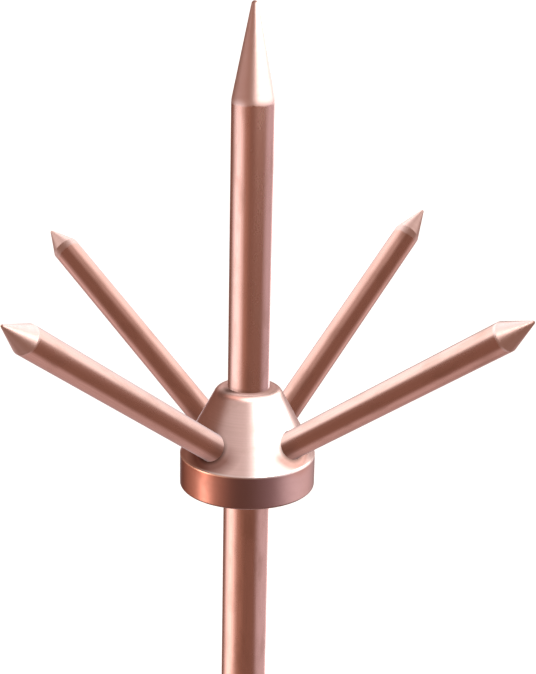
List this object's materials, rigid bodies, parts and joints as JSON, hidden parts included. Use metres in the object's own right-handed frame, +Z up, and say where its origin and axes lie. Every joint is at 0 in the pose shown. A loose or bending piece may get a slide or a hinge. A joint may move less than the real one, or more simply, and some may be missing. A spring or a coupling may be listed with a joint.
{
  "type": "lightning rod",
  "caption": "Copper air terminal: a turned hub with a tapered centre point and thinner side points that rise outwards, on a round stem that a rod holder clamps.",
  "frame": {"origin": "centre of the hub's underside, where the stem leaves it, on the stem's axis", "axes": "+Z up the centre point, -Z down the stem; the side points stand at 45 degrees between the X and Y axes, and -Y is the front of the picture's view"},
  "size_m": [0.1482, 0.1482, 0.239],
  "materials": {
    "turned_copper": "bright turned copper",
    "drawn_copper": "bright drawn copper rod with ground points"
  },
  "bodies": {
    "root": {"hub": "turned_copper", "stem": "drawn_copper", "centre_point": "drawn_copper", "front_right_point": "drawn_copper", "rear_right_point": "drawn_copper", "rear_left_point": "drawn_copper", "front_left_point": "drawn_copper"}
  },
  "joints": []
}
